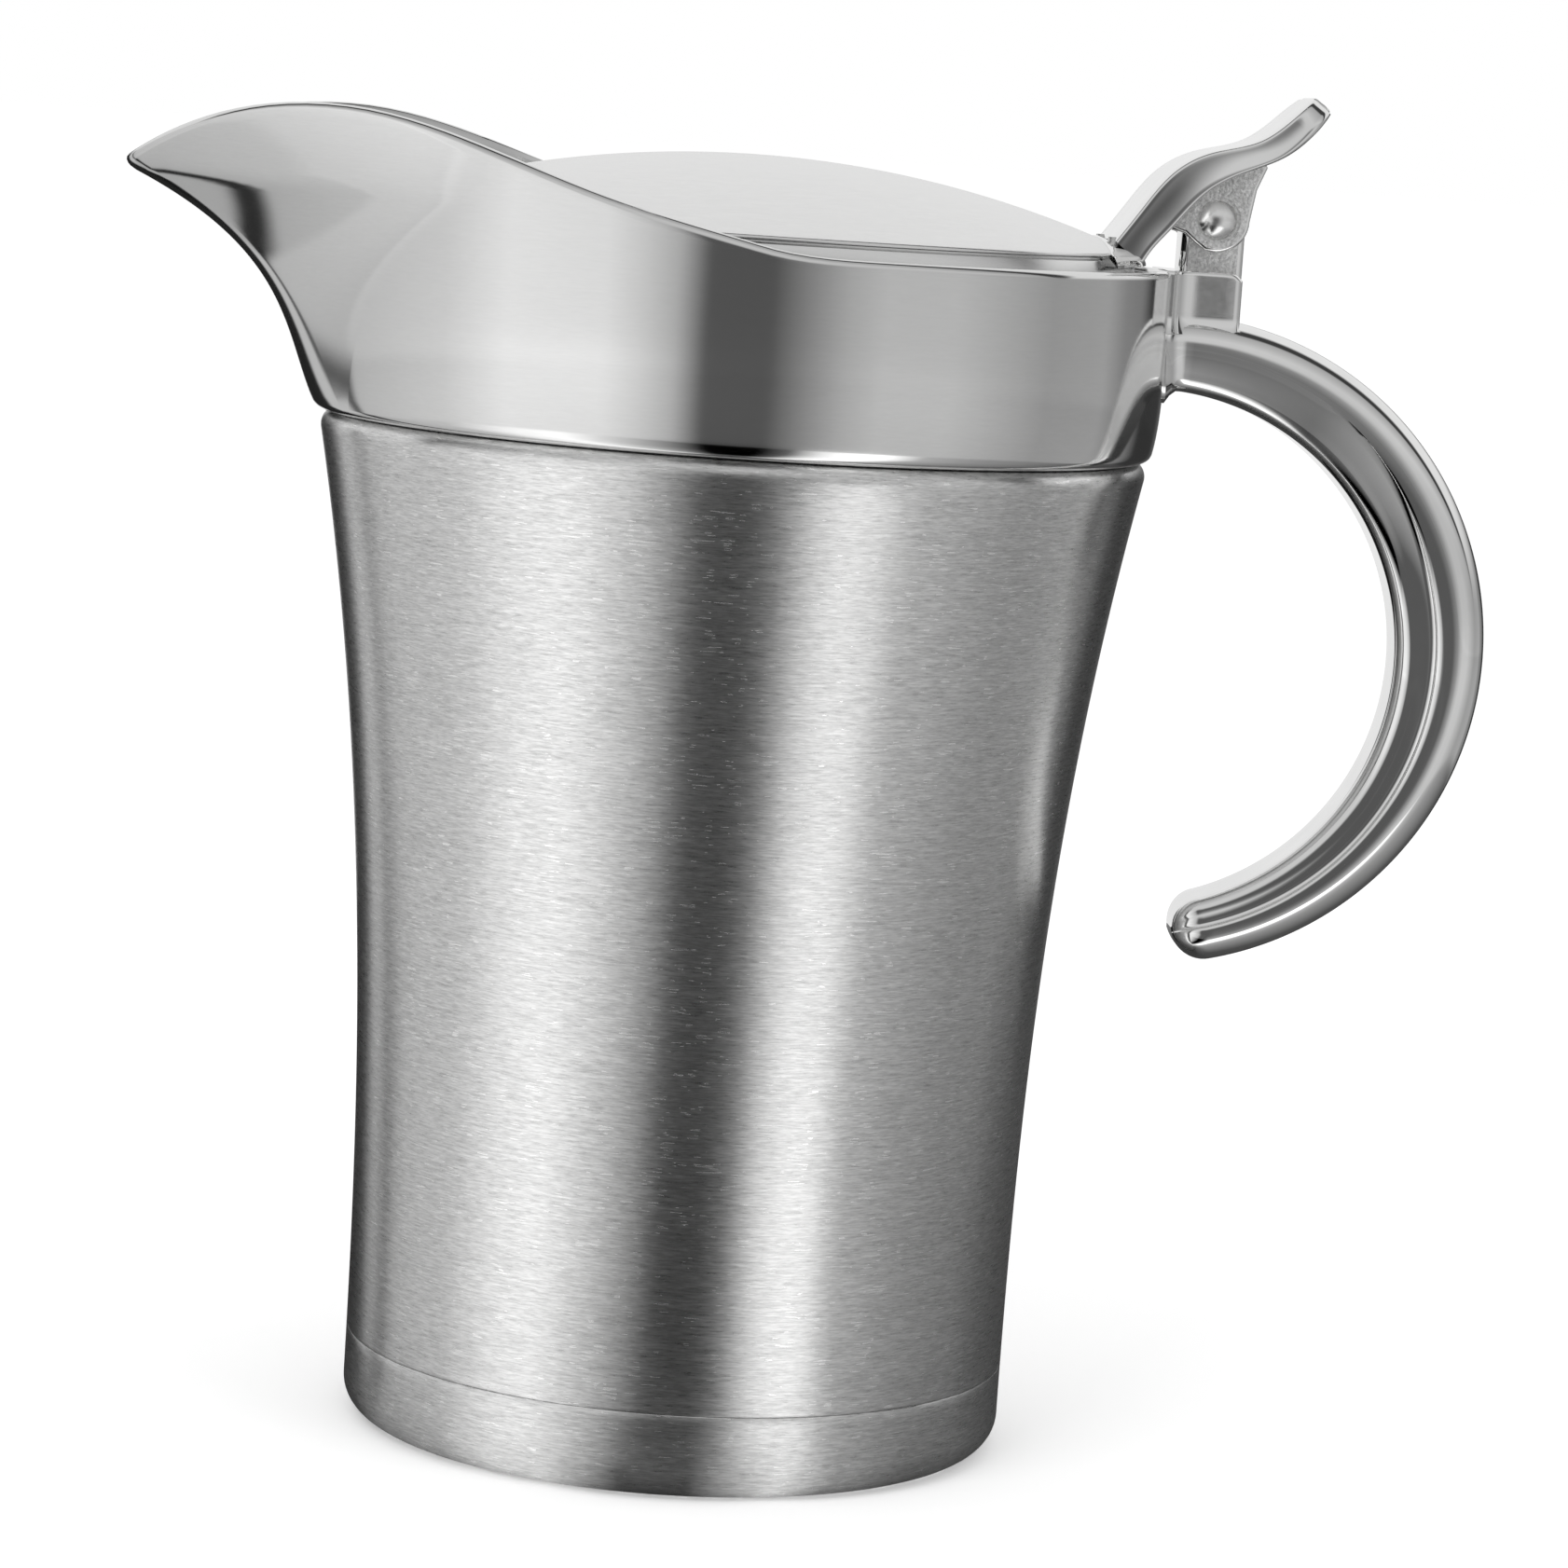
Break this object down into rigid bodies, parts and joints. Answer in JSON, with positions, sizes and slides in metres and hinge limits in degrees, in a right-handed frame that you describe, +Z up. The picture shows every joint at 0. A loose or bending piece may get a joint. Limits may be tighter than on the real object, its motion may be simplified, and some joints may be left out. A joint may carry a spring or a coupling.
{
  "type": "insulated gravy boat",
  "caption": "Double-walled steel gravy boat with a pouring collar, a hook handle and a hinged dome lid opened by a thumb lever.",
  "frame": {"origin": "centre of the flat foot ring, on the plane that the boat stands on", "axes": "+Z up; +X towards the handle; -X towards the spout; +Y across"},
  "size_m": [0.1689, 0.1032, 0.168],
  "materials": {
    "body_steel": "fine streaks round the body",
    "liner_steel": "plain drawn steel",
    "collar_steel": "smooth satin",
    "lid_steel": "smooth satin",
    "polished_casting": "mirror polish",
    "screw_steel": "bright",
    "solder": "dull bead",
    "getter_alloy": "pressed pellet",
    "seal_rubber": "soft",
    "sleeve_plastic": "moulded",
    "foam": "foamed"
  },
  "bodies": {
    "vessel": {"outer_shell": "body_steel", "base_cup": "body_steel", "inner_liner": "liner_steel", "liner_base": "liner_steel", "vacuum_seal": "solder", "getter": "getter_alloy", "getter_cup": "liner_steel", "neck_gasket": "seal_rubber", "collar_sleeve": "sleeve_plastic", "spout_collar": "collar_steel", "handle_shell": "polished_casting", "handle_insert": "polished_casting", "handle_screws": "screw_steel"},
    "lid": {"lid_dome": "lid_steel", "lid_underplate": "sleeve_plastic", "lid_foam": "foam", "lid_lever": "polished_casting", "lever_screws": "screw_steel", "hinge_rivet": "screw_steel"}
  },
  "joints": [
    {"name": "lid_hinge", "type": "hinge", "parent": "vessel", "child": "lid", "pos_m": [0.0562, 0, 0.15248], "axis": [0, 1, 0], "range_deg": [0, 95]}
  ]
}
